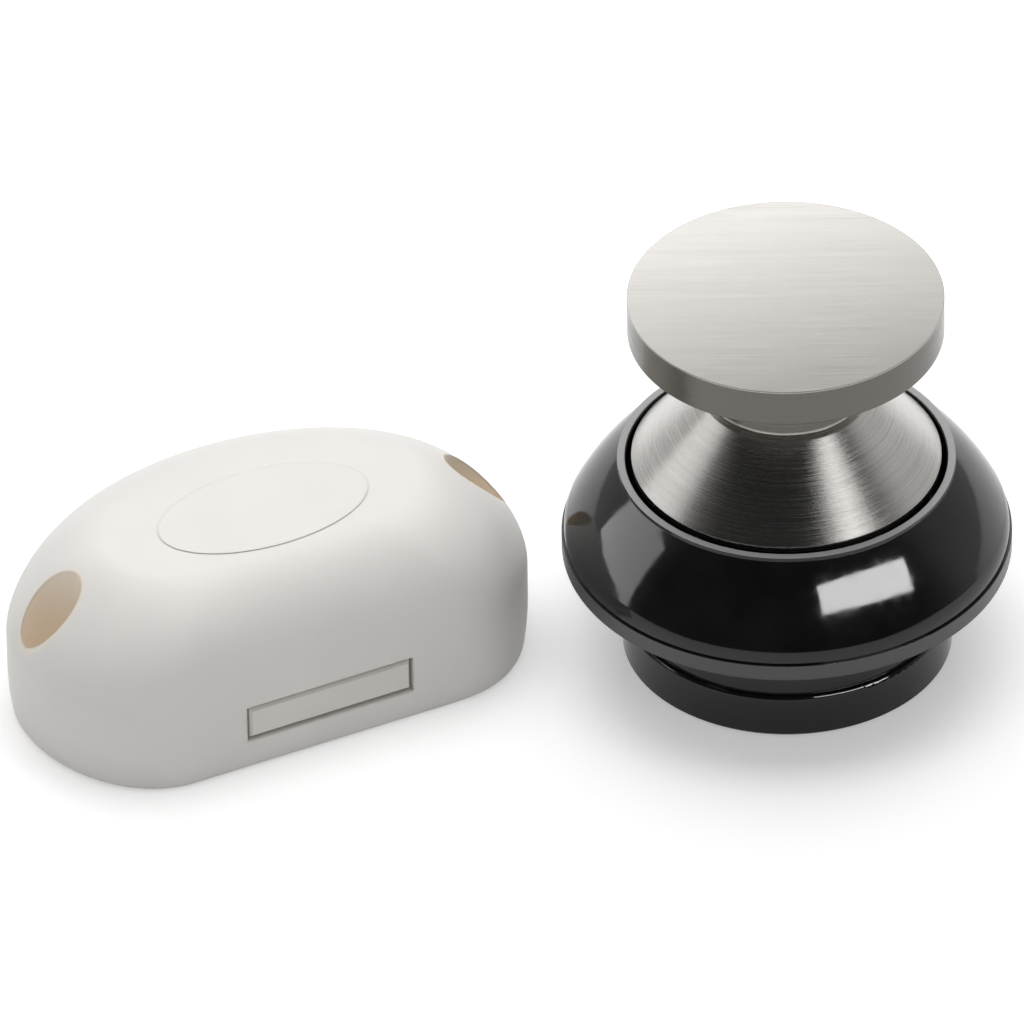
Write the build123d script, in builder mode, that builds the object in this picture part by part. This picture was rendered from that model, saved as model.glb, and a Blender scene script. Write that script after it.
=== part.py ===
from build123d import *

import os
from math import atan2, cos, degrees, hypot, radians, sin

# Pushbutton lock set: a moulded lock case, lying on its door face, and a button in a round rosette beside it.
# Millimetres, +Z up. The origin is the plunger axis on the case's door face, midway between the screw holes.
# +X runs along the case, the bolt leaves towards -Y, and both units stand on z = 0.

# Clearances
RUNNING = 0.06  # radial play of a round pin in its guide
SLIDING = 0.15  # play of a flat guide
FREE = 0.3  # gap between pieces that pass each other
SEATED = 0.05  # gap of a piece that rests in its seat

# Lock case, outside
CASE_LENGTH = 49.2
CASE_FRONT = 13.6  # plunger axis to the bolt face
CASE_BACK = 17.2  # plunger axis to the rounded back
CASE_HEIGHT = 17.5
FRONT_STRAIGHT = 27.4  # flat part of the bolt face
SHOULDER_SHARE = 0.47  # height at which the wall starts to round over
END_INSET = 9.2  # how far the ends have come in at the crown
FRONT_INSET = 7.9
BACK_INSET = 11.5
END_POWER = 1.5  # 2 is an elliptical round-over, more is squarer, less is more sloping
FRONT_POWER = 2.0
BACK_POWER = 2.1
TUCK = 0.45  # how far the ends draw in at the door face
TUCK_HEIGHT = 4.5
PLATEAU_LENGTH = 20.4  # faint oval plateau on the crown
PLATEAU_REACH = 5.6  # plateau from the plunger axis to its front and back
PLATEAU_STEP = 0.08
FOOT_EDGE = 0.35
WALL = 1.6
ROOF = 1.6

# Screw wells at the ends of the case
WELL_INSET = 3.4  # screw axis in from the end of the case
WELL_RADIUS = 2.75
WELL_WALL = 1.1
WELL_SEAT = 3.0
SCREW_HOLE_RADIUS = 1.75

# Base plate and its two screws
PLATE_RECESS = 0.2
PLATE_TOP = 1.6
PLATE_SCREW_X = 12.0
PLATE_SCREW_Y = 9.0
PLATE_BOSS_RADIUS = 2.3
PLATE_SCREW_RADIUS = 1.0
PLATE_HEAD_RADIUS = 1.9
PLATE_SCREW_LENGTH = 7.0
PLATE_HEAD_HEIGHT = 0.9
SPINDLE_HOLE_RADIUS = 2.6

# Bolt throw and latched place; the plunger's travel is what the case leaves for it
BOLT_THROW = 7.5
CHEEK_HEADROOM = 0.95
LATCHED_SHARE = 0.87  # part of the travel at which the latch holds the plunger

# Plunger
PLUNGER_HALF_WIDTH = 3.3
PLUNGER_FRONT = 3.4
PLUNGER_REAR = 4.6
PLUNGER_BOTTOM = 2.0
PLUNGER_HEIGHT = 5.9
PLUNGER_FLOOR = 1.3
PLUNGER_BORE = 2.6
PEG_HEIGHT = 5.2  # axis of the drive pegs above the door face, at rest
PEG_RADIUS = 1.05
DIMPLE_RADIUS = 2.2
DIMPLE_DEPTH = 0.6

# Guide tower on the base plate
TOWER_WALL = 1.1
TRACK_WALL = 2.0
TRACK_WIDTH = 1.0
TRACK_DEPTH = 1.1
TRACK_OFFSET = 0.9
RAIL_WALL = 1.1
RAIL_RISE = 2.2  # rail above the bolt's underside
RAIL_BACK = 6.0

# Latch pin
LATCH_RADIUS = 0.35
LATCH_ARM = 3.0
LATCH_TIP_HEIGHT = 3.4
LATCH_POCKET = 0.8
LATCH_POCKET_HALF = 1.7
LATCH_ROOT = 0.85
LATCH_BEND = 0.6
LATCH_END = 0.7  # pocket past the bends of the pin

# Bolt
BOLT_WIDTH = 16.0
BOLT_BOTTOM = 3.4
BOLT_THICKNESS = 3.15
CHEEK_WIDTH = 2.0
CAM_WALL = 1.05
CHEEK_CORNER = 1.6
BOLT_EDGE = 0.25

# Plunger spring
PLUNGER_SPRING_RADIUS = 2.1
PLUNGER_SPRING_WIRE = 0.3
PLUNGER_SPRING_COILS = 7
SPRING_PEG_LENGTH = 1.4

# Screw recesses
CROSS_SHARE = 0.25  # width of the cross recess as a share of the head radius

# Button unit, place
BUTTON_X = 43.8
BUTTON_Y = -18.1

# Button unit, radii that follow from the cone's
CONE_RADIUS = 14.03
RING_GAP = 0.47
RING_WIDTH = 5.7
LIP_STEP = 0.2  # lip past the ring
LIP_WIDTH = 5.9
FOOT_STEP = 0.5
TUBE_WALL = 1.6

# Sleeve
FOOT_HEIGHT = 4.5
FOOT_ROUND = 0.45
LIP_BOTTOM = 10.7
LIP_THICKNESS = 1.6
WEB_DROP = 0.9  # underside of the web below the lip
WEB_THICKNESS = 1.5
BUSH_FLANGE = 0.5

# Rosette ring
RING_TOP = 20.6
RING_SIDE = 0.3  # upright part above the lip
RING_ROUND = 3.0
RING_TURN = 27.0  # degrees turned by the rounded lower edge
COLLAR_WIDTH = 0.8
COLLAR_RISE = 0.4
RING_BEVEL = 0.15
RING_SHELL = 1.5
RING_SCREWS = 3
RING_SCREW_INSET = 1.0
RING_BOSS_RADIUS = 1.5
RING_SCREW_RADIUS = 0.9
RING_HEAD_RADIUS = 1.7
RING_SCREW_LENGTH = 4.2
RING_HEAD_HEIGHT = 0.8

# Button
BUTTON_TRAVEL = 8.0
BUTTON_TOP = 38.5
DISC_RADIUS = 14.26
DISC_THICKNESS = 3.6
DISC_CHAMFER = 0.15
DISC_ROUND = 0.7
NECK_RADIUS = 7.1
NECK_FILLET = 0.8
LEDGE_WIDTH = 0.56
LEDGE_SLOPE = 0.35
CONE_SHARE = 0.527  # height of the cone as a share of the height below the disc
RIM_SHOW = 0.25  # rim above the mouth of the ring
RIM_HEIGHT = 0.7
CONE_WALL = 1.8
CROWN_WALL = 2.0  # from the ledge down to the ceiling of the hollow

# Stem, its stop and the return spring
STEM_RADIUS = 3.5
STEM_TAIL = 0.4
BUSH_WALL = 0.84
BOSS_WALL = 0.9
BOSS_GAP = 0.9  # ceiling above the boss when the button is fully pressed
STUD_STEP = 1.0
STUD_LENGTH = 5.6
SOCKET_RADIUS = 2.1
SOCKET_DEPTH = 8.5
SOCKET_CHAMFER = 0.4
STOP_GAP = 0.1
STOP_WASHER_REACH = 2.3
STOP_WASHER_THICKNESS = 0.3
CLIP_THICKNESS = 0.6
CLIP_REACH = 1.5
GROOVE_DEPTH = 0.6
SPRING_WIRE = 0.45
SPRING_PLAY = 0.35
SPRING_COILS = 5
SPRING_WASHER_THICKNESS = 0.5
SPRING_WASHER_EDGE = 0.25  # washer past the spring's outside

# Levels of the plan sections, as shares of the way from the shoulder to the crown
RISES = (0.0, 0.1, 0.2, 0.35, 0.5, 0.65, 0.78, 0.88, 0.95, 0.985, 1.0)
TUCK_LEVELS = (0.0, 0.3, 0.65, 1.0)

os.makedirs("parts", exist_ok=True)


def rounding_share(rise, power):
    """How far the wall has come in, from 0 at the shoulder to 1 at the crown."""
    return 1 - (1 - rise**power) ** (1 / power)


def case_section(height, rise=0.0, inset=0.0, tuck=0.0):
    """D-shaped plan of the case at a height, a share of the rise from the shoulder to the crown."""
    come_in = rounding_share(rise, END_POWER) * END_INSET + inset + tuck
    half_length = CASE_LENGTH / 2 - come_in
    straight = FRONT_STRAIGHT / 2 * half_length / (CASE_LENGTH / 2)
    front = CASE_FRONT - rounding_share(rise, FRONT_POWER) * FRONT_INSET - inset
    back = CASE_BACK - rounding_share(rise, BACK_POWER) * BACK_INSET - inset
    corner = half_length - straight
    with BuildSketch(Plane.XY.offset(height)) as section:
        with BuildLine():
            Line((-straight, -front), (straight, -front))
            EllipticalCenterArc((straight, 0), corner, front, start_angle=270, arc_size=90)
            EllipticalCenterArc((0, 0), half_length, back, start_angle=0, arc_size=180)
            EllipticalCenterArc((-straight, 0), corner, front, start_angle=180, arc_size=90)
        make_face()
    return section.sketch


def case_form(top, inset=0.0, tuck=0.0):
    """Upright wall under a crowned roof: the outside of the case, or the hollow inside it."""
    shoulder = SHOULDER_SHARE * CASE_HEIGHT - inset / 2
    tucks = [(level * TUCK_HEIGHT, tuck * (1 - level) ** 2) for level in TUCK_LEVELS]
    foot = [case_section(height, inset=inset, tuck=draw) for height, draw in tucks]
    sections = [case_section(shoulder + rise * (top - shoulder), rise, inset) for rise in RISES]
    with BuildPart() as form:
        loft(foot)
        extrude(case_section(TUCK_HEIGHT, inset=inset), amount=shoulder - TUCK_HEIGHT)
        loft(sections)
    return form.part


roof_inside = CASE_HEIGHT - ROOF
body_top = CASE_HEIGHT - PLATEAU_STEP
well_x = CASE_LENGTH / 2 - WELL_INSET
well_places = [(-well_x, 0), (well_x, 0)]
plate_screw_places = [(-PLATE_SCREW_X, PLATE_SCREW_Y), (PLATE_SCREW_X, PLATE_SCREW_Y)]
UP = (Align.CENTER, Align.CENTER, Align.MIN)

# Outer form of the case, solid
with BuildPart() as case_solid:
    add(case_form(body_top, tuck=TUCK))
    chamfer(case_solid.edges().group_by(Axis.Z)[0], FOOT_EDGE)

case_hollow = case_form(roof_inside, WALL)

# Tubes of the screw wells, pillars for the plate screws and the spring's peg, cut off by the outer form
with BuildPart() as case_pillars:
    with Locations(*well_places):
        Cylinder(WELL_RADIUS + WELL_WALL, CASE_HEIGHT, align=UP)
    with BuildSketch(Plane.XY.offset(PLATE_TOP + SEATED)):
        with Locations(*plate_screw_places):
            Circle(PLATE_BOSS_RADIUS)
    extrude(amount=roof_inside)
    with BuildSketch(Plane.XY.offset(roof_inside - SPRING_PEG_LENGTH)):
        Circle(PLUNGER_SPRING_RADIUS - PLUNGER_SPRING_WIRE - FREE / 2)
    extrude(amount=CASE_HEIGHT)
    add(case_solid.part, mode=Mode.INTERSECT)

window_bottom = BOLT_BOTTOM - FREE
window_height = BOLT_THICKNESS + 2 * FREE

# Lock case: one moulding, open below
with BuildPart() as lock_case:
    add(case_solid.part)
    with BuildSketch(Plane.XY.offset(body_top)):
        Ellipse(PLATEAU_LENGTH / 2, PLATEAU_REACH)
    extrude(amount=PLATEAU_STEP)
    add(case_hollow, mode=Mode.SUBTRACT)
    add(case_pillars.part)
    with Locations(*[(x, y, WELL_SEAT) for x, y in well_places]):
        Cylinder(WELL_RADIUS, CASE_HEIGHT, align=UP, mode=Mode.SUBTRACT)
    with Locations(*well_places):
        Cylinder(SCREW_HOLE_RADIUS, CASE_HEIGHT, align=UP, mode=Mode.SUBTRACT)
    with BuildSketch(Plane.XY.offset(PLATE_TOP)):
        with Locations(*plate_screw_places):
            Circle(PLATE_SCREW_RADIUS)
    extrude(amount=PLATE_SCREW_LENGTH, mode=Mode.SUBTRACT)
    with Locations((0, -CASE_FRONT + WALL / 2, window_bottom)):
        Box(BOLT_WIDTH + 2 * FREE, 2 * WALL, window_height, align=UP, mode=Mode.SUBTRACT)
lock_case.part.label = "lock_case"

# Places worked out from the driving dimensions
tower_half = PLUNGER_HALF_WIDTH + SLIDING
tower_front = PLUNGER_FRONT + SLIDING
tower_rear = PLUNGER_REAR + SLIDING
tower_outer = tower_half + TOWER_WALL
tower_top = roof_inside - FREE
arm_inside = tower_outer + FREE
bolt_half = BOLT_WIDTH / 2
bolt_top = BOLT_BOTTOM + BOLT_THICKNESS
slot_radius = PEG_RADIUS + SLIDING
cam_margin = slot_radius + CAM_WALL
cheek_rear = BOLT_THROW + cam_margin
cheek_top = roof_inside - CHEEK_HEADROOM
plunger_travel = cheek_top - cam_margin - PEG_HEIGHT
cam_length = hypot(BOLT_THROW, plunger_travel)
peg_reach = arm_inside + CHEEK_WIDTH - SLIDING
rail_front = -(CASE_FRONT - WALL - FREE)
track_top = LATCH_TIP_HEIGHT + plunger_travel
track_hold = LATCH_TIP_HEIGHT + LATCHED_SHARE * plunger_travel
well_clear = WELL_RADIUS + WELL_WALL + SLIDING

# Base plate: closes the case from below, guides the plunger in its tower and carries the bolt on rails
with BuildPart() as base_plate:
    extrude(case_section(PLATE_RECESS, inset=WALL + SLIDING), amount=PLATE_TOP - PLATE_RECESS)
    with BuildSketch(Plane.XY.offset(PLATE_TOP)):
        with Locations((0, (tower_rear + TRACK_WALL - tower_front - TOWER_WALL) / 2)):
            Rectangle(2 * tower_outer, tower_front + TOWER_WALL + tower_rear + TRACK_WALL)
        with Locations((0, (tower_rear - tower_front) / 2)):
            Rectangle(2 * tower_half, tower_front + tower_rear, mode=Mode.SUBTRACT)
    extrude(amount=tower_top - PLATE_TOP)
    with Locations((0, 0, PEG_HEIGHT - PEG_RADIUS - SEATED)):
        Box(2 * arm_inside, 2 * slot_radius, tower_top, align=UP, mode=Mode.SUBTRACT)
    track_plane = Plane(origin=(0, tower_rear, 0), x_dir=(1, 0, 0), z_dir=(0, -1, 0))
    with BuildSketch(track_plane):
        with BuildLine():
            Polyline(
                (-TRACK_OFFSET, LATCH_TIP_HEIGHT),
                (-TRACK_OFFSET, track_top),
                (0, track_hold),
                (TRACK_OFFSET, track_top),
                (TRACK_OFFSET, LATCH_TIP_HEIGHT + 2 * TRACK_WIDTH),
                close=True,
            )
        trace(line_width=TRACK_WIDTH)
    extrude(amount=-TRACK_DEPTH, mode=Mode.SUBTRACT)
    for side in (-1, 1):
        rail_inner = arm_inside + FREE
        rail_outer = bolt_half + SLIDING + RAIL_WALL
        with BuildSketch(Plane.XY.offset(PLATE_TOP)):
            with Locations((side * (rail_inner + rail_outer) / 2, (RAIL_BACK + rail_front) / 2)):
                Rectangle(rail_outer - rail_inner, RAIL_BACK - rail_front)
        extrude(amount=BOLT_BOTTOM - SLIDING - PLATE_TOP)
        with BuildSketch(Plane.XY.offset(PLATE_TOP)):
            with Locations((side * (rail_outer - RAIL_WALL / 2), (RAIL_BACK + rail_front) / 2)):
                Rectangle(RAIL_WALL, RAIL_BACK - rail_front)
        extrude(amount=BOLT_BOTTOM + RAIL_RISE - PLATE_TOP)
        with Locations((side * (well_x + well_clear), 0, 0)):
            Box(2 * well_clear, 2 * well_clear, CASE_HEIGHT, align=UP, mode=Mode.SUBTRACT)
    with Locations(*well_places):
        Cylinder(well_clear, CASE_HEIGHT, align=UP, mode=Mode.SUBTRACT)
    with Locations(*plate_screw_places):
        Cylinder(PLATE_SCREW_RADIUS + SEATED, 2 * PLATE_TOP, mode=Mode.SUBTRACT)
    with Locations(*[(x, y, PLATE_RECESS) for x, y in plate_screw_places]):
        Cone(
            PLATE_HEAD_RADIUS + SEATED,
            PLATE_SCREW_RADIUS + SEATED,
            PLATE_HEAD_HEIGHT,
            align=UP,
            mode=Mode.SUBTRACT,
        )
    Cylinder(SPINDLE_HOLE_RADIUS, 2 * PLATE_TOP, mode=Mode.SUBTRACT)
base_plate.part.label = "base_plate"


def countersunk_screw(place, head_radius, shank_radius, head_height, length):
    """Flat-headed screw, head down, with a cross recess; length includes the head."""
    with BuildPart(Plane(origin=place)) as screw:
        Cone(head_radius, shank_radius, head_height, align=UP)
        with Locations((0, 0, head_height)):
            Cylinder(shank_radius, length - head_height, align=UP)
        for turn in (0, 90):
            Box(
                head_radius,
                CROSS_SHARE * head_radius,
                head_height,
                rotation=(0, 0, turn),
                mode=Mode.SUBTRACT,
            )
    return screw.part


# Two screws hold the base plate to the pillars of the case
plate_screws = [
    countersunk_screw(
        (x, y, PLATE_RECESS),
        PLATE_HEAD_RADIUS,
        PLATE_SCREW_RADIUS - SEATED,
        PLATE_HEAD_HEIGHT,
        PLATE_SCREW_LENGTH,
    )
    for x, y in plate_screw_places
]
base_screw_left, base_screw_right = plate_screws
base_screw_left.label = "base_screw_left"
base_screw_right.label = "base_screw_right"

# Plunger: block with a spring bore, two drive pegs and a pocket for the latch pin
latch_pivot = LATCH_TIP_HEIGHT + LATCH_ARM
pocket_floor = PLUNGER_REAR - LATCH_POCKET
with BuildPart() as plunger:
    with Locations((0, (PLUNGER_REAR - PLUNGER_FRONT) / 2, PLUNGER_BOTTOM)):
        Box(2 * PLUNGER_HALF_WIDTH, PLUNGER_FRONT + PLUNGER_REAR, PLUNGER_HEIGHT, align=UP)
    with Locations((0, 0, PEG_HEIGHT)):
        Cylinder(PEG_RADIUS, 2 * peg_reach, rotation=(0, 90, 0))
    with Locations((0, 0, PLUNGER_BOTTOM + PLUNGER_FLOOR)):
        Cylinder(PLUNGER_BORE, PLUNGER_HEIGHT, align=UP, mode=Mode.SUBTRACT)
    with Locations((0, 0, PLUNGER_BOTTOM)):
        Cylinder(DIMPLE_RADIUS, DIMPLE_DEPTH, align=UP, mode=Mode.SUBTRACT)
    with Locations((0, PLUNGER_REAR, (LATCH_TIP_HEIGHT + latch_pivot) / 2)):
        Box(
            2 * LATCH_POCKET_HALF,
            2 * LATCH_POCKET,
            LATCH_ARM + 2 * LATCH_END,
            mode=Mode.SUBTRACT,
        )
    with Locations((-TRACK_OFFSET, pocket_floor, latch_pivot)):
        Cylinder(LATCH_RADIUS + SEATED, 2 * LATCH_ROOT, rotation=(90, 0, 0), mode=Mode.SUBTRACT)
plunger.part.label = "plunger"

# Latch pin: bent spring wire, held in the plunger, its tip in the heart-shaped track of the tower
with BuildPart() as latch_pin:
    arm_y = PLUNGER_REAR - LATCH_POCKET / 2
    with BuildLine() as latch_path:
        FilletPolyline(
            (-TRACK_OFFSET, pocket_floor - LATCH_ROOT + SEATED, latch_pivot),
            (-TRACK_OFFSET, arm_y, latch_pivot),
            (-TRACK_OFFSET, arm_y, LATCH_TIP_HEIGHT),
            (-TRACK_OFFSET, tower_rear + TRACK_DEPTH - SLIDING, LATCH_TIP_HEIGHT),
            radius=LATCH_BEND,
        )
    with BuildSketch(Plane(origin=latch_path.line @ 0, z_dir=latch_path.line % 0)):
        Circle(LATCH_RADIUS)
    sweep()
latch_pin.part.label = "latch_pin"

# Bolt: flat tongue with two upright cheeks, each with an inclined cam slot for a drive peg
with BuildPart() as bolt:
    notch_front = tower_front + TOWER_WALL + FREE
    with BuildSketch(Plane.XY.offset(BOLT_BOTTOM)):
        with Locations((0, (cheek_rear - CASE_FRONT) / 2)):
            Rectangle(BOLT_WIDTH, CASE_FRONT + cheek_rear)
        with Locations((0, (cheek_rear - notch_front) / 2)):
            Rectangle(2 * arm_inside, notch_front + cheek_rear, mode=Mode.SUBTRACT)
    extrude(amount=BOLT_THICKNESS)
    chamfer(bolt.edges().group_by(Axis.Y)[0], BOLT_EDGE)
    cam_lean = cam_margin * cam_length / plunger_travel
    cam_slope = BOLT_THROW / plunger_travel
    cheek_foot = (bolt_top - PEG_HEIGHT) * cam_slope - cam_lean
    for cheek_x in (arm_inside, -arm_inside - CHEEK_WIDTH):
        with BuildSketch(Plane.YZ.offset(cheek_x)):
            with BuildLine():
                Polyline(
                    (cheek_foot, BOLT_BOTTOM),
                    (cheek_foot, bolt_top),
                    ((cheek_top - PEG_HEIGHT) * cam_slope - cam_lean, cheek_top),
                    (cheek_rear - CHEEK_CORNER, cheek_top),
                    (cheek_rear, cheek_top - CHEEK_CORNER),
                    (cheek_rear, BOLT_BOTTOM),
                    close=True,
                )
            make_face()
        extrude(amount=CHEEK_WIDTH)
        with BuildSketch(Plane.YZ.offset(cheek_x)):
            with Locations((BOLT_THROW / 2, PEG_HEIGHT + plunger_travel / 2)):
                SlotCenterToCenter(
                    cam_length, 2 * slot_radius, rotation=degrees(atan2(plunger_travel, BOLT_THROW))
                )
        extrude(amount=CHEEK_WIDTH, mode=Mode.SUBTRACT)
bolt.part.label = "bolt"


def coil_spring(x, y, bottom, top, radius, wire, coils):
    """Helical compression spring between two seats."""
    low = bottom + SEATED + wire
    high = top - SEATED - wire
    with BuildPart() as spring:
        with BuildLine() as coil:
            Helix(pitch=(high - low) / coils, height=high - low, radius=radius, center=(x, y, low))
        with BuildSketch(Plane(origin=coil.line @ 0, z_dir=coil.line % 0)):
            Circle(wire)
        sweep(is_frenet=True)
    return spring.part


plunger_spring = coil_spring(
    0,
    0,
    PLUNGER_BOTTOM + PLUNGER_FLOOR,
    roof_inside,
    PLUNGER_SPRING_RADIUS,
    PLUNGER_SPRING_WIRE,
    PLUNGER_SPRING_COILS,
)
plunger_spring.label = "plunger_spring"

# Button unit: everything is turned about one upright axis
profile_plane = Plane(origin=(BUTTON_X, BUTTON_Y, 0), x_dir=(1, 0, 0), z_dir=(0, -1, 0))
button_axis = Axis((BUTTON_X, BUTTON_Y, 0), (0, 0, 1))
ring_screw_angles = [90 + 360 / RING_SCREWS * index for index in range(RING_SCREWS)]

ring_bore = CONE_RADIUS + RING_GAP
ring_radius = ring_bore + RING_WIDTH
lip_radius = ring_radius + LIP_STEP
tube_radius = lip_radius - LIP_WIDTH
sleeve_bore = tube_radius - TUBE_WALL
foot_radius = tube_radius + FOOT_STEP
ring_void_in = ring_bore + RING_SHELL
ring_void_out = ring_radius - RING_SHELL
ring_screw_circle = ring_void_in + RING_SCREW_INSET
lip_top = LIP_BOTTOM + LIP_THICKNESS
web_bottom = LIP_BOTTOM - WEB_DROP
web_top = web_bottom + WEB_THICKNESS

bush_radius = STEM_RADIUS + RUNNING + BUSH_WALL
boss_radius = bush_radius + BOSS_WALL
spring_radius = boss_radius + SPRING_WIRE + SPRING_PLAY
washer_outside = spring_radius + SPRING_WIRE + SPRING_WASHER_EDGE

disc_bottom = BUTTON_TOP - DISC_THICKNESS
cone_bottom = RING_TOP + RIM_SHOW
rim_bottom = cone_bottom - RIM_HEIGHT
ledge_top = cone_bottom + CONE_SHARE * (disc_bottom - cone_bottom)
cone_top = ledge_top - LEDGE_SLOPE
ledge_radius = NECK_RADIUS + LEDGE_WIDTH
ceiling = cone_top - CROWN_WALL
ceiling_radius = washer_outside + FREE
washer_bottom = ceiling - SPRING_WASHER_THICKNESS
boss_top = ceiling - BUTTON_TRAVEL - BOSS_GAP

stud_radius = STEM_RADIUS - STUD_STEP
stud_top = ceiling + STUD_LENGTH
clip_top = web_bottom - STOP_GAP - STOP_WASHER_THICKNESS
clip_bottom = clip_top - CLIP_THICKNESS
stem_bottom = clip_bottom - STEM_TAIL


def turned(*outline):
    """Solid turned about the button axis from a closed outline of (radius, height) points."""
    with BuildPart() as piece:
        with BuildSketch(profile_plane):
            with BuildLine():
                Polyline(*outline, close=True)
            make_face()
        revolve(axis=button_axis)
    return piece.part


# Sleeve: foot, tube, lip and inner web in one casting
with BuildPart() as sleeve:
    with BuildSketch(profile_plane) as sleeve_profile:
        with BuildLine():
            Polyline(
                (sleeve_bore, 0),
                (foot_radius, 0),
                (foot_radius, FOOT_HEIGHT),
                (tube_radius, FOOT_HEIGHT),
                (tube_radius, LIP_BOTTOM),
                (lip_radius, LIP_BOTTOM),
                (lip_radius, lip_top),
                (ring_bore, lip_top),
                (ring_bore, web_top),
                (boss_radius, web_top),
                (boss_radius, boss_top),
                (bush_radius, boss_top),
                (bush_radius, web_bottom),
                (sleeve_bore, web_bottom),
                close=True,
            )
        make_face()
        foot_shoulder = sleeve_profile.vertices().sort_by_distance((foot_radius, FOOT_HEIGHT))[0]
        fillet(foot_shoulder, FOOT_ROUND)
    revolve(axis=button_axis)
    chamfer(sleeve.edges().group_by(Axis.Z)[0].sort_by(SortBy.RADIUS)[-1], FOOT_EDGE)
    with Locations(Location((BUTTON_X, BUTTON_Y, LIP_BOTTOM))):
        with PolarLocations(ring_screw_circle, RING_SCREWS, start_angle=ring_screw_angles[0]):
            Cone(
                RING_HEAD_RADIUS + SEATED,
                RING_SCREW_RADIUS + SEATED,
                RING_HEAD_HEIGHT,
                align=UP,
                mode=Mode.SUBTRACT,
            )
            Cylinder(RING_SCREW_RADIUS + SEATED, 2 * lip_top, mode=Mode.SUBTRACT)
sleeve.part.label = "sleeve"

# Void of the ring, open towards the lip; the screw bosses stay in it
edge_turn = radians(RING_TURN)
edge_low = lip_top + RING_SIDE
edge_end = (ring_radius - RING_ROUND * (1 - cos(edge_turn)), edge_low + RING_ROUND * sin(edge_turn))
collar_radius = ring_bore + COLLAR_WIDTH
flank_top = RING_TOP - COLLAR_RISE
flank_slope = (flank_top - edge_end[1]) / (edge_end[0] - collar_radius)
flank_drop = RING_SHELL * hypot(1, flank_slope)
with BuildPart() as ring_void:
    with BuildSketch(profile_plane):
        with BuildLine():
            Polyline(
                (ring_void_in, lip_top),
                (ring_void_out, lip_top),
                (ring_void_out, edge_end[1] + flank_slope * (edge_end[0] - ring_void_out) - flank_drop),
                (ring_void_in, edge_end[1] + flank_slope * (edge_end[0] - ring_void_in) - flank_drop),
                close=True,
            )
        make_face()
    revolve(axis=button_axis)
    with Locations(Location((BUTTON_X, BUTTON_Y, lip_top))):
        with PolarLocations(ring_screw_circle, RING_SCREWS, start_angle=ring_screw_angles[0]):
            Cylinder(RING_BOSS_RADIUS, RING_TOP, align=UP, mode=Mode.SUBTRACT)

# Rosette ring: sloping shell with a rounded lower edge and a raised collar at the mouth
with BuildPart() as rosette_ring:
    with BuildSketch(profile_plane):
        with BuildLine():
            Line((ring_radius, lip_top), (ring_radius, edge_low))
            CenterArc((ring_radius - RING_ROUND, edge_low), RING_ROUND, 0, RING_TURN)
            TangentArc(
                edge_end, (collar_radius, flank_top), tangent=(-sin(edge_turn), cos(edge_turn))
            )
            Polyline(
                (collar_radius, flank_top),
                (collar_radius, RING_TOP),
                (ring_bore + RING_BEVEL, RING_TOP),
                (ring_bore, RING_TOP - RING_BEVEL),
                (ring_bore, lip_top),
                (ring_radius, lip_top),
            )
        make_face()
    revolve(axis=button_axis)
    add(ring_void.part, mode=Mode.SUBTRACT)
    with Locations(Location((BUTTON_X, BUTTON_Y, lip_top))):
        with PolarLocations(ring_screw_circle, RING_SCREWS, start_angle=ring_screw_angles[0]):
            Cylinder(RING_SCREW_RADIUS, RING_SCREW_LENGTH - LIP_THICKNESS, align=UP, mode=Mode.SUBTRACT)
rosette_ring.part.label = "rosette_ring"


def polar_place(angle, height):
    """Point on the circle of the ring screws."""
    spoke = Vector(ring_screw_circle, 0, height).rotate(Axis.Z, angle)
    return (BUTTON_X + spoke.X, BUTTON_Y + spoke.Y, height)


# Screws that hold the ring to the lip, from below
ring_screws = [
    countersunk_screw(
        polar_place(angle, LIP_BOTTOM),
        RING_HEAD_RADIUS,
        RING_SCREW_RADIUS - SEATED,
        RING_HEAD_HEIGHT,
        RING_SCREW_LENGTH,
    )
    for angle in ring_screw_angles
]
for number, screw in enumerate(ring_screws, start=1):
    screw.label = f"ring_screw_{number}"

# Guide bush of the stem, pushed into the boss of the sleeve from above
guide_bush = turned(
    (STEM_RADIUS + RUNNING, web_bottom),
    (bush_radius, web_bottom),
    (bush_radius, boss_top),
    (boss_radius, boss_top),
    (boss_radius, boss_top + BUSH_FLANGE),
    (STEM_RADIUS + RUNNING, boss_top + BUSH_FLANGE),
)
guide_bush.label = "guide_bush"

# Button: grip disc, waisted neck and hollow cone
with BuildPart() as button:
    with BuildSketch(profile_plane) as button_profile:
        with BuildLine():
            Polyline(
                (0, BUTTON_TOP),
                (DISC_RADIUS, BUTTON_TOP),
                (DISC_RADIUS, disc_bottom),
                (NECK_RADIUS, disc_bottom),
                (NECK_RADIUS, ledge_top),
                (ledge_radius, cone_top),
                (CONE_RADIUS, cone_bottom),
                (CONE_RADIUS, rim_bottom),
                (CONE_RADIUS - CONE_WALL, rim_bottom),
                (ceiling_radius, ceiling),
                (stud_radius, ceiling),
                (stud_radius, stud_top + SEATED),
                (0, stud_top + SEATED),
                close=True,
            )
        make_face()
        corners = button_profile.vertices()
        fillet(corners.sort_by_distance((NECK_RADIUS, disc_bottom))[0], NECK_FILLET)
        fillet(corners.sort_by_distance((DISC_RADIUS, disc_bottom))[0], DISC_ROUND)
        chamfer(corners.sort_by_distance((DISC_RADIUS, BUTTON_TOP))[0], DISC_CHAMFER)
    revolve(axis=button_axis)
button.part.label = "button"

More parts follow.
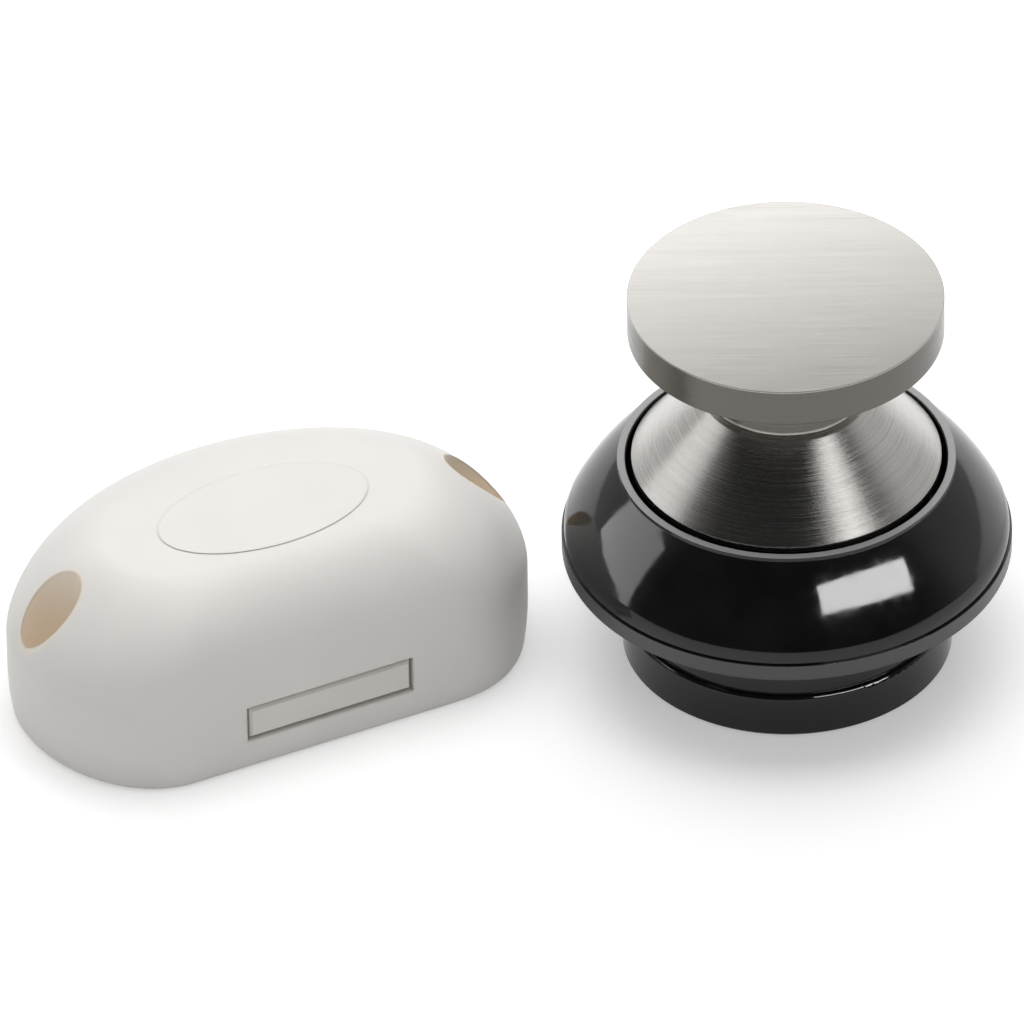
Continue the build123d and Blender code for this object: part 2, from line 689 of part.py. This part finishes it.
# Stem: screwed into the button, slides in the bush and takes the connecting spindle from below
groove_radius = STEM_RADIUS - GROOVE_DEPTH
with BuildPart() as stem:
    with BuildSketch(profile_plane):
        with BuildLine():
            Polyline(
                (SOCKET_RADIUS + SOCKET_CHAMFER, stem_bottom),
                (STEM_RADIUS, stem_bottom),
                (STEM_RADIUS, clip_bottom),
                (groove_radius, clip_bottom),
                (groove_radius, clip_top),
                (STEM_RADIUS, clip_top),
                (STEM_RADIUS, ceiling),
                (stud_radius, ceiling),
                (stud_radius, stud_top),
                (0, stud_top),
                (0, stem_bottom + SOCKET_DEPTH),
                (SOCKET_RADIUS, stem_bottom + SOCKET_DEPTH),
                (SOCKET_RADIUS, stem_bottom + SOCKET_CHAMFER),
                close=True,
            )
        make_face()
    revolve(axis=button_axis)
stem.part.label = "stem"

# Stop washer and retaining clip under the web hold the button against its spring
stop_washer_radius = STEM_RADIUS + STOP_WASHER_REACH
clip_radius = STEM_RADIUS + CLIP_REACH
stop_washer = turned(
    (STEM_RADIUS + RUNNING, clip_top),
    (stop_washer_radius, clip_top),
    (stop_washer_radius, clip_top + STOP_WASHER_THICKNESS),
    (STEM_RADIUS + RUNNING, clip_top + STOP_WASHER_THICKNESS),
)
stop_washer.label = "stop_washer"

with BuildPart() as retaining_clip:
    with BuildSketch(Plane.XY.offset(clip_bottom)):
        with Locations((BUTTON_X, BUTTON_Y)):
            Circle(clip_radius)
            Circle(groove_radius, mode=Mode.SUBTRACT)
        with Locations((BUTTON_X, BUTTON_Y - clip_radius)):
            Rectangle(2 * groove_radius, 2 * clip_radius, mode=Mode.SUBTRACT)
    extrude(amount=CLIP_THICKNESS)
retaining_clip.part.label = "retaining_clip"

# Return spring, with a washer against the button's ceiling
spring_washer = turned(
    (boss_radius + FREE, washer_bottom),
    (washer_outside, washer_bottom),
    (washer_outside, ceiling),
    (boss_radius + FREE, ceiling),
)
spring_washer.label = "spring_washer"

return_spring = coil_spring(
    BUTTON_X, BUTTON_Y, web_top, washer_bottom, spring_radius, SPRING_WIRE, SPRING_COILS
)
return_spring.label = "return_spring"

export_step(lock_case.part, "parts/lock_case.step")
export_step(base_plate.part, "parts/base_plate.step")
export_step(base_screw_left, "parts/base_screw_left.step")
export_step(base_screw_right, "parts/base_screw_right.step")
export_step(plunger.part, "parts/plunger.step")
export_step(latch_pin.part, "parts/latch_pin.step")
export_step(bolt.part, "parts/bolt.step")
export_step(plunger_spring, "parts/plunger_spring.step")
export_step(sleeve.part, "parts/sleeve.step")
export_step(rosette_ring.part, "parts/rosette_ring.step")
for screw in ring_screws:
    export_step(screw, f"parts/{screw.label}.step")
export_step(guide_bush, "parts/guide_bush.step")
export_step(button.part, "parts/button.step")
export_step(stem.part, "parts/stem.step")
export_step(stop_washer, "parts/stop_washer.step")
export_step(retaining_clip.part, "parts/retaining_clip.step")
export_step(spring_washer, "parts/spring_washer.step")
export_step(return_spring, "parts/return_spring.step")
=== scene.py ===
from math import cos, pi, radians, sin

import bpy
from mathutils import Matrix, Vector


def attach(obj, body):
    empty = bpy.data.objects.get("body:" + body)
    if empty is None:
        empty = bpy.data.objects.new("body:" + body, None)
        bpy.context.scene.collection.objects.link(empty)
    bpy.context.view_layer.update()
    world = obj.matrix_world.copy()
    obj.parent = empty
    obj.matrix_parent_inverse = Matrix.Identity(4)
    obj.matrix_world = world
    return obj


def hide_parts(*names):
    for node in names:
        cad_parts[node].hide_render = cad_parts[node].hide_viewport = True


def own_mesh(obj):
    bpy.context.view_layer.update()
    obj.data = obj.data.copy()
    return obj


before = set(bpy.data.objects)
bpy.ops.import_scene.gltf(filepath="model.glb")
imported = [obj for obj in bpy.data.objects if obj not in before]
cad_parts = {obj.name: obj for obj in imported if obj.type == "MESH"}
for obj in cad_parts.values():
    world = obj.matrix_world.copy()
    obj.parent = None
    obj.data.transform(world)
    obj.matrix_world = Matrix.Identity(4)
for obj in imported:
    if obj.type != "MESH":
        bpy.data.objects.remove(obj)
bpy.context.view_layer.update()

MM = 0.001

# Places repeated from the CAD, in millimetres
BUTTON_AXIS = (43.8, -18.1)
PLUNGER_AXIS = (0.0, 0.0)
WELL_DISTANCE = 21.2
WELL_RADIUS = 2.75
DISC_TOP = 38.5
LEDGE_TOP = 28.25
COLLAR_TOP = 20.6
LIP_TOP = 12.3
LIP_BOTTOM = 10.7
LIP_RADIUS = 20.4
RETURN_SEAT = 11.3
RETURN_TOP = 25.4
PLUNGER_FLOOR = 3.3
PLUNGER_SEAT = 15.9

# Distance from the button's axis at which the disc's painted shade begins and ends, in millimetres
PAINTED_SHADE_REACH = 13.0

# Colours, in linear red, green and blue
CASE_WHITE = (0.83, 0.808, 0.775)
# Painted light in the screw wells: a warm tint and a glow that stand in for light through the plastic
WELL_PAINTED_TAN = (0.80, 0.72, 0.61)
WELL_PAINTED_GLOW = (0.70, 0.60, 0.49)
BOLT_WHITE = (0.80, 0.77, 0.72)
ACETAL_WHITE = (0.75, 0.74, 0.70)
BLACK = (0.006, 0.006, 0.007)
LIGHTER_BLACK = (0.010, 0.010, 0.011)
# Painted highlight on the collar at the mouth, and painted reflection on the lip's band
COLLAR_PAINTED_HIGHLIGHT = (0.40, 0.40, 0.395)
BAND_PAINTED_REFLECTION = (0.075, 0.075, 0.076)
NICKEL_DARK = (0.46, 0.443, 0.42)
NICKEL_LIGHT = (0.68, 0.66, 0.635)
NICKEL_BROAD = (0.60, 0.585, 0.56)
# Painted shade on the disc's top, and on the disc's edge and the neck
NICKEL_PAINTED_SHADE = (0.29, 0.280, 0.266)
NICKEL_EDGE_PAINTED_SHADE = (0.14, 0.132, 0.121)
ZINC = (0.62, 0.62, 0.60)
WIRE = (0.50, 0.50, 0.50)
WHITE = (1.0, 1.0, 1.0)
FLOOR_GREY = (0.80, 0.80, 0.80)

# Range that most of a noise's values fill
NOISE_SPAN = (0.3, 0.7)

# Springs: how fine the mesh is, turns in each closed end, and the gap at each seat in millimetres
COIL_SIDES = 12
STEPS_PER_TURN = 40
CLOSED_TURNS = 0.8
SEAT_GAP = 0.06

# Levels of light, where 1 shows as white
# Strength of the painted glow in the screw wells
WELL_PAINTED_GLOW_LEVEL = 0.13
FLOOR_GLOW_LEVEL = 0.36
ROOM_LEVEL = 0.40
MIRROR_BACK_LEVEL = 0.55
MIRROR_FRONT_LEVEL = 0.02

# Camera
VIEW_AZIMUTH = radians(-25.5)
VIEW_ELEVATION = radians(37.5)
LOOK_AT = Vector((0.02957, 0.00979, 0.0))
LENS = 700.0
SENSOR_WIDTH = 36.0
IMAGE_WIDTH = 1024
PIXELS_PER_METRE = 10907.0
ROLL = radians(0.9)

front = Vector((sin(VIEW_AZIMUTH), -cos(VIEW_AZIMUTH), 0))
right = Vector((cos(VIEW_AZIMUTH), sin(VIEW_AZIMUTH), 0))
up = Vector((0, 0, 1))


def link(obj):
    """Put an object into the scene."""
    bpy.context.scene.collection.objects.link(obj)
    return obj


def set_inputs(tree, made, values):
    """Give a node's sockets links or plain values; a colour gets its alpha here."""
    for key, value in values.items():
        socket = made.inputs[key]
        if isinstance(value, bpy.types.NodeSocket):
            tree.links.new(value, socket)
        elif socket.type == "RGBA":
            socket.default_value = (*value, 1.0)
        else:
            socket.default_value = value


def node(tree, kind, inputs=None, **settings):
    """Add a node, set its properties, and give its sockets values or links."""
    made = tree.nodes.new(kind)
    for key, value in settings.items():
        setattr(made, key, value)
    set_inputs(tree, made, inputs or {})
    return made


def maths(tree, operation, a, b=0.0):
    """Result socket of a Math node."""
    return node(tree, "ShaderNodeMath", {0: a, 1: b}, operation=operation).outputs[0]


def vector_maths(tree, operation, a, b=(0, 0, 0)):
    """Result socket of a Vector Math node."""
    made = node(tree, "ShaderNodeVectorMath", {0: a, 1: b}, operation=operation)
    return made.outputs["Value" if operation == "DOT_PRODUCT" else "Vector"]


def split(tree, vector):
    """X, Y and Z of a vector."""
    parts = node(tree, "ShaderNodeSeparateXYZ", {"Vector": vector})
    return tuple(parts.outputs[axis] for axis in "XYZ")


def join(tree, x, y, z=0.0):
    """Vector with this X, Y and Z."""
    return node(tree, "ShaderNodeCombineXYZ", {"X": x, "Y": y, "Z": z}).outputs["Vector"]


def length(tree, x, y):
    """Length of a flat vector."""
    squares = [maths(tree, "MULTIPLY", part, part) for part in (x, y)]
    return maths(tree, "POWER", maths(tree, "ADD", *squares), 0.5)


def ramp(tree, value, low, high, out_low=0.0, out_high=1.0, smooth=True):
    """A value mapped from one range to another, clamped."""
    made = node(
        tree,
        "ShaderNodeMapRange",
        {"Value": value, "From Min": low, "From Max": high, "To Min": out_low, "To Max": out_high},
        interpolation_type="SMOOTHSTEP" if smooth else "LINEAR",
    )
    return made.outputs["Result"]


def noise(tree, vector, scale, detail=2.0, rough=0.5):
    """Noise between 0 and 1, most of it near a half."""
    made = node(
        tree,
        "ShaderNodeTexNoise",
        {"Vector": vector, "Scale": scale, "Detail": detail, "Roughness": rough},
    )
    return made.outputs["Fac"]


def patches(tree, cloud, out_low=0.0, out_high=1.0):
    """Noise spread over a whole range."""
    return ramp(tree, cloud, *NOISE_SPAN, out_low, out_high)


def mix(tree, factor, a, b, kind="Float"):
    """Result socket of a Mix node; the kind is Float, Vector or Color."""
    made = node(tree, "ShaderNodeMix", data_type="RGBA" if kind == "Color" else kind.upper())
    places = {socket.identifier: index for index, socket in enumerate(made.inputs)}
    values = {"Factor_Float": factor, f"A_{kind}": a, f"B_{kind}": b}
    set_inputs(tree, made, {places[identifier]: value for identifier, value in values.items()})
    return next(socket for socket in made.outputs if socket.identifier == f"Result_{kind}")


def darker(colour, share):
    """A colour at a share of its brightness."""
    return tuple(part * share for part in colour)


def edge_normal(tree, radius):
    """Normal of edges rounded by a small radius in millimetres."""
    return node(tree, "ShaderNodeBevel", {"Radius": radius * MM}, samples=6).outputs["Normal"]


def bump(tree, height, distance, strength, normal):
    """Normal with a relief of this many millimetres on top of another normal."""
    relief = {"Height": height, "Distance": distance * MM, "Strength": strength, "Normal": normal}
    return node(tree, "ShaderNodeBump", relief).outputs["Normal"]


def new_material(name):
    """A material with a Principled shader; returns the material, its tree, shader and place in mm."""
    material = bpy.data.materials.new(name)
    material.use_nodes = True
    tree = material.node_tree
    shader = tree.nodes["Principled BSDF"]
    metres = node(tree, "ShaderNodeTexCoord").outputs["Object"]
    place = vector_maths(tree, "MULTIPLY", metres, (1 / MM, 1 / MM, 1 / MM))
    return material, tree, shader, place


# Satin plastic: a given well colour and a little glow are painted light in the screw wells
def moulded_plastic(name, colour, well_painted_colour=None, grain=0.012, rounding=0.12):
    material, tree, shader, place = new_material(name)
    cloud = patches(tree, noise(tree, place, 0.12, detail=3.0))
    base = mix(tree, cloud, colour, darker(colour, 0.975), "Color")
    if well_painted_colour:
        x, y, _ = split(tree, place)
        beside = maths(tree, "SUBTRACT", maths(tree, "ABSOLUTE", x), WELL_DISTANCE)
        in_well = ramp(tree, length(tree, beside, y), WELL_RADIUS + 0.5, WELL_RADIUS - 0.1)
        base = mix(tree, in_well, base, well_painted_colour, "Color")
        # Painted glow in the wells, which hold no lamp
        glow = maths(tree, "MULTIPLY", in_well, WELL_PAINTED_GLOW_LEVEL)
        set_inputs(tree, shader, {"Emission Color": WELL_PAINTED_GLOW, "Emission Strength": glow})
    fine = noise(tree, place, 9.0, detail=3.0, rough=0.6)
    shade = patches(tree, noise(tree, place, 1.3, detail=4.0), 0.40, 0.47)
    normal = bump(tree, fine, distance=grain, strength=0.35, normal=edge_normal(tree, rounding))
    set_inputs(tree, shader, {"Base Color": base, "Roughness": shade, "Normal": normal, "IOR": 1.49,
                              "Specular IOR Level": 0.45})
    return material


def from_button(tree, place):
    """Offset from the foot of the button's axis."""
    return vector_maths(tree, "SUBTRACT", place, (*BUTTON_AXIS, 0.0))


# Gloss black, mirror-smooth; satin collar with a painted highlight, satin lip band with a painted
# reflection
def gloss_black(name):
    material, tree, shader, place = new_material(name)
    x, y, height = split(tree, from_button(tree, place))
    reach = length(tree, x, y)
    cloud = patches(tree, noise(tree, place, 0.2))
    on_collar = ramp(tree, height, COLLAR_TOP - 0.04, COLLAR_TOP - 0.02)
    on_rim = ramp(tree, reach, LIP_RADIUS - 0.1, LIP_RADIUS - 0.05)
    above_bottom = ramp(tree, height, LIP_BOTTOM + 0.05, LIP_BOTTOM + 0.1)
    below_top = ramp(tree, height, LIP_TOP - 0.02, LIP_TOP - 0.07)
    on_band = maths(tree, "MULTIPLY", on_rim, maths(tree, "MULTIPLY", above_bottom, below_top))
    base = mix(tree, cloud, BLACK, LIGHTER_BLACK, "Color")
    # Painted highlight on the collar and painted reflection on the lip's band
    base = mix(tree, on_collar, base, COLLAR_PAINTED_HIGHLIGHT, "Color")
    base = mix(tree, on_band, base, BAND_PAINTED_REFLECTION, "Color")
    satin = maths(tree, "MULTIPLY", maths(tree, "MAXIMUM", on_collar, on_band), 0.35)
    gloss = ramp(tree, noise(tree, place, 0.6, detail=5.0, rough=0.6), 0.35, 0.75, 0.06, 0.12)
    wave = noise(tree, place, 0.35)
    normal = bump(tree, wave, distance=0.06, strength=0.15, normal=edge_normal(tree, 0.12))
    set_inputs(tree, shader, {"Base Color": base, "Roughness": maths(tree, "MAXIMUM", gloss, satin),
                              "Normal": normal, "IOR": 1.44})
    return material


def brush_marks(tree, x, y, scales, broad_scales, detail, rough):
    """Fine and broad noise over two coordinates; the marks run along the one with the smaller scale."""
    plane = vector_maths(tree, "MULTIPLY", join(tree, x, y), (*scales, 0.0))
    broad_plane = vector_maths(tree, "MULTIPLY", plane, (*broad_scales, 0.0))
    fine = noise(tree, plane, 1.0, detail, rough)
    broad = noise(tree, broad_plane, 1.0, detail=3.0, rough=0.6)
    return fine, broad


# Brushed nickel: straight brushing on the disc, turning marks on the neck and cone
def brushed_nickel(name):
    material, tree, shader, place = new_material(name)
    offset = from_button(tree, place)
    x, y, height = split(tree, offset)
    reach = length(tree, x, y)
    on_disc = ramp(tree, height, DISC_TOP - 0.12, DISC_TOP - 0.05)
    along = vector_maths(tree, "DOT_PRODUCT", offset, tuple(right))
    across = vector_maths(tree, "DOT_PRODUCT", offset, tuple(front))
    straight = brush_marks(tree, along, across, scales=(0.10, 9.0), broad_scales=(0.25, 0.12),
                           detail=5.0, rough=0.65)
    down_slope = maths(tree, "SUBTRACT", reach, height)
    angle = maths(tree, "ARCTAN2", y, x)
    turned = brush_marks(tree, down_slope, angle, scales=(7.0, 0.4), broad_scales=(0.22, 0.5),
                         detail=6.0, rough=0.7)
    fine, broad = (mix(tree, on_disc, *marks) for marks in zip(turned, straight))

    # Painted shade: the disc's top is painted darker towards the front right, its edge and the neck painted
    # dark
    base = mix(tree, ramp(tree, fine, 0.3, 0.72), NICKEL_DARK, NICKEL_LIGHT, "Color")
    base = mix(tree, patches(tree, broad), base, NICKEL_BROAD, "Color")
    forward = maths(tree, "ADD", maths(tree, "MULTIPLY", along, 0.35), across)
    painted_shade_share = ramp(tree, forward, -PAINTED_SHADE_REACH, PAINTED_SHADE_REACH, smooth=False)
    base = mix(tree, maths(tree, "MULTIPLY", painted_shade_share, on_disc), base, NICKEL_PAINTED_SHADE, "Color")
    on_neck = maths(tree, "MULTIPLY", ramp(tree, height, DISC_TOP - 0.05, DISC_TOP - 0.2),
                    ramp(tree, height, LEDGE_TOP + 0.02, LEDGE_TOP + 0.3))
    base = mix(tree, on_neck, base, NICKEL_EDGE_PAINTED_SHADE, "Color")

    # The highlight is drawn out along the tangent, so the tangent runs across the marks
    downhill = vector_maths(tree, "NORMALIZE", join(tree, x, y, maths(tree, "MULTIPLY", reach, -1.0)))
    tangent = mix(tree, on_disc, downhill, tuple(front), "Vector")
    shade = mix(tree, on_disc, patches(tree, fine, 0.12, 0.30), patches(tree, fine, 0.30, 0.42))
    normal = bump(tree, fine, distance=0.03, strength=0.5, normal=edge_normal(tree, 0.1))
    set_inputs(tree, shader, {"Base Color": base, "Metallic": 1.0, "Roughness": shade, "Normal": normal,
                              "Anisotropic": 0.5, "Tangent": tangent})
    return material


# Plain metal: screws, washers, stem and wire, with a faint grain
def bright_metal(name, colour, rough, scale=6.0):
    material, tree, shader, place = new_material(name)
    grain = noise(tree, place, scale, detail=4.0, rough=0.6)
    base = mix(tree, patches(tree, grain), colour, darker(colour, 0.86), "Color")
    shade = patches(tree, noise(tree, place, scale * 0.3, detail=3.0), rough, rough + 0.12)
    normal = bump(tree, grain, distance=0.01, strength=0.3, normal=edge_normal(tree, 0.06))
    set_inputs(tree, shader, {"Base Color": base, "Metallic": 1.0, "Roughness": shade, "Normal": normal})
    return material


case_plastic = moulded_plastic("case_plastic", CASE_WHITE, WELL_PAINTED_TAN, rounding=0.45)
bolt_plastic = moulded_plastic("bolt_plastic", BOLT_WHITE)
acetal = moulded_plastic("mechanism_plastic", ACETAL_WHITE, grain=0.006)
black = gloss_black("gloss_black")
nickel = brushed_nickel("brushed_nickel")
zinc = bright_metal("zinc_steel", ZINC, 0.26)
wire = bright_metal("spring_steel", WIRE, 0.22, scale=3.0)

finishes = {
    "lock_case": case_plastic,
    "base_plate": acetal,
    "base_screw_left": zinc,
    "base_screw_right": zinc,
    "plunger": acetal,
    "latch_pin": wire,
    "bolt": bolt_plastic,
    "plunger_spring": wire,
    "sleeve": black,
    "rosette_ring": black,
    "ring_screw_1": zinc,
    "ring_screw_2": zinc,
    "ring_screw_3": zinc,
    "guide_bush": acetal,
    "button": nickel,
    "stem": zinc,
    "stop_washer": zinc,
    "retaining_clip": wire,
    "spring_washer": zinc,
    "return_spring": wire,
}
for name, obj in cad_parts.items():
    if not obj.material_slots:
        obj.data.materials.append(finishes[name])
    for material_slot in obj.material_slots:
        material_slot.material = finishes[name]


def coil_mesh(name, centre, bottom, top, radius, wire_radius, coils):
    """Mesh of a coil of round wire with closed ends, from sizes in millimetres."""
    turns = coils + 1
    steps = STEPS_PER_TURN * turns
    low = bottom + wire_radius + SEAT_GAP
    high = top - wire_radius - SEAT_GAP
    closed = 2 * wire_radius * CLOSED_TURNS
    vertices, faces = [], []
    for step in range(steps + 1):
        turn = turns * step / steps
        if turn < CLOSED_TURNS:
            height = low + 2 * wire_radius * turn
        elif turn > turns - CLOSED_TURNS:
            height = high - 2 * wire_radius * (turns - turn)
        else:
            share = (turn - CLOSED_TURNS) / (turns - 2 * CLOSED_TURNS)
            height = low + closed + (high - low - 2 * closed) * share
        angle = 2 * pi * turn
        for side in range(COIL_SIDES):
            around = 2 * pi * side / COIL_SIDES
            reach = radius + wire_radius * cos(around)
            x, y = centre[0] + reach * cos(angle), centre[1] + reach * sin(angle)
            vertices.append((x * MM, y * MM, (height + wire_radius * sin(around)) * MM))
    for first in range(0, steps * COIL_SIDES, COIL_SIDES):
        for side in range(COIL_SIDES):
            a, b = first + side, first + (side + 1) % COIL_SIDES
            faces.append((a, a + COIL_SIDES, b + COIL_SIDES, b))
    faces.append(tuple(range(COIL_SIDES)))
    faces.append(tuple(reversed(range(steps * COIL_SIDES, (steps + 1) * COIL_SIDES))))
    mesh = bpy.data.meshes.new(name)
    mesh.from_pydata(vertices, [], faces)
    for polygon in mesh.polygons:
        polygon.use_smooth = len(polygon.vertices) == 4
    return mesh


def spring_piece(name, centre, bottom, top, radius, wire_radius, coils):
    """Spring that stands in for the CAD's."""
    mesh = coil_mesh(name, centre, bottom, top, radius, wire_radius, coils)
    mesh.materials.append(wire)
    piece = link(bpy.data.objects.new(name, mesh))
    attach(piece, "housings")
    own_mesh(piece)
    return piece


return_coil = spring_piece(
    "return_coil", BUTTON_AXIS, RETURN_SEAT, RETURN_TOP, radius=6.1, wire_radius=0.45, coils=5,
)
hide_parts("return_spring")
plunger_coil = spring_piece(
    "plunger_coil", PLUNGER_AXIS, PLUNGER_FLOOR, PLUNGER_SEAT, radius=2.1, wire_radius=0.3, coils=7,
)
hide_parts("plunger_spring")


# Floor: matt, so that it takes the shadows, with a glow that only the camera, gloss and glass see
def floor_white(name):
    material = bpy.data.materials.new(name)
    material.use_nodes = True
    tree = material.node_tree
    tree.nodes.clear()
    path = node(tree, "ShaderNodeLightPath")
    seen = maths(tree, "MAXIMUM", path.outputs["Is Camera Ray"],
                 maths(tree, "MAXIMUM", path.outputs["Is Glossy Ray"], path.outputs["Is Transmission Ray"]))
    matt = node(tree, "ShaderNodeBsdfDiffuse", {"Color": FLOOR_GREY})
    level = maths(tree, "MULTIPLY", seen, FLOOR_GLOW_LEVEL)
    glow = node(tree, "ShaderNodeEmission", {"Color": WHITE, "Strength": level})
    both = node(tree, "ShaderNodeAddShader", {0: matt.outputs[0], 1: glow.outputs[0]})
    node(tree, "ShaderNodeOutputMaterial", {"Surface": both.outputs[0]})
    return material


FLOOR_HALF = 3.0
floor_mesh = bpy.data.meshes.new("floor")
floor_corners = [(x * FLOOR_HALF, y * FLOOR_HALF, 0) for x, y in ((-1, -1), (1, -1), (1, 1), (-1, 1))]
floor_mesh.from_pydata(floor_corners, [], [(0, 1, 2, 3)])
floor_mesh.materials.append(floor_white("floor_white"))
floor = link(bpy.data.objects.new("floor", floor_mesh))


# World: white to the camera, grey to the rest; gloss sees it darkest on the side where the camera stands
def studio_world(name):
    world = bpy.data.worlds.new(name)
    world.use_nodes = True
    tree = world.node_tree
    tree.nodes.clear()
    path = node(tree, "ShaderNodeLightPath")
    way = node(tree, "ShaderNodeTexCoord").outputs["Generated"]
    toward_front = vector_maths(tree, "DOT_PRODUCT", way, tuple(front))
    mirrored = ramp(tree, toward_front, -0.2, 0.35, MIRROR_BACK_LEVEL, MIRROR_FRONT_LEVEL)
    room = mix(tree, path.outputs["Is Glossy Ray"], ROOM_LEVEL, mirrored)
    strength = mix(tree, path.outputs["Is Camera Ray"], room, 1.0)
    background = node(tree, "ShaderNodeBackground", {"Color": WHITE, "Strength": strength})
    node(tree, "ShaderNodeOutputWorld", {"Surface": background.outputs[0]})
    return world


bpy.context.scene.world = studio_world("studio")

# Lamps: rectangles that face a point on the button's axis
KNOB_HEIGHT = 0.018
knob = Vector((BUTTON_AXIS[0] * MM, BUTTON_AXIS[1] * MM, KNOB_HEIGHT))


def panel(name, centre, across, upward, size, radiance, seen_by=None, diffuse=True, glossy=True):
    """Rectangular softbox that faces the button; radiance is the brightness that a mirror would show."""
    data = bpy.data.lights.new(name, "AREA")
    data.shape = "RECTANGLE"
    data.size, data.size_y = size
    data.energy = radiance * size[0] * size[1] * pi
    lamp = link(bpy.data.objects.new(name, data))
    x = Vector(across).normalized()
    y = (Vector(upward) - Vector(upward).dot(x) * x).normalized()
    if x.cross(y).dot(centre - knob) < 0:
        x = -x
    lamp.matrix_world = Matrix.Translation(centre) @ Matrix((x, y, x.cross(y))).transposed().to_4x4()
    lamp.visible_diffuse = diffuse
    lamp.visible_glossy = glossy
    lamp.visible_camera = False
    if seen_by:
        group = bpy.data.collections.new(name + "_receivers")
        for receiver in seen_by:
            group.objects.link(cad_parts[receiver])
        lamp.light_linking.receiver_collection = group


def local(forward, rightward, upward):
    """Vector given as steps to the front, right and up, seen from the camera."""
    return front * forward + right * rightward + up * upward


gloss_nodes = ("sleeve", "rosette_ring")
metal_nodes = ("button",)
panel("overhead", knob + local(-0.35, 0, 0.9), right, front, size=(1.0, 1.0), radiance=2.45, glossy=False)
panel("key_on_gloss", knob + local(0.241, 0.239, 0.211), local(-0.208, 0.263, -0.061),
      local(-0.048, -0.003, 0.058), size=(0.34, 0.095), radiance=18.0, seen_by=gloss_nodes, diffuse=False)
panel("key_on_metal", knob + 0.4 * local(0.597, 0.831, 0.917), local(-0.214, 0.973, 0.081),
      local(-0.309, 0.042, 0.95), size=(0.24, 0.5), radiance=1.45, seen_by=metal_nodes, diffuse=False)
for name, radiance, seen_by in (("left_on_gloss", 3.4, gloss_nodes), ("left_on_metal", 0.55, metal_nodes)):
    panel(name, knob + local(-0.1, -0.62, 0.22), local(0.95, -0.2, 0), up, size=(0.4, 0.35),
          radiance=radiance, seen_by=seen_by, diffuse=False)
panel("back", knob + local(-0.75, -0.15, 0.62), right, local(0.5, 0, 0.6), size=(1.2, 0.7), radiance=1.4,
      diffuse=False)

# Camera
camera_data = bpy.data.cameras.new("camera")
camera_data.lens = LENS
camera_data.sensor_width = SENSOR_WIDTH
camera_data.clip_start = 0.05
camera_data.clip_end = 20.0
camera = link(bpy.data.objects.new("camera", camera_data))
distance = IMAGE_WIDTH * LENS / (SENSOR_WIDTH * PIXELS_PER_METRE)
outward = front * cos(VIEW_ELEVATION) + up * sin(VIEW_ELEVATION)
camera.location = LOOK_AT + outward * distance
facing = (-outward).to_track_quat("-Z", "Y").to_matrix()
camera.rotation_euler = (facing @ Matrix.Rotation(-ROLL, 3, "Z")).to_euler()
bpy.context.scene.camera = camera
bpy.context.scene.view_settings.view_transform = "Standard"
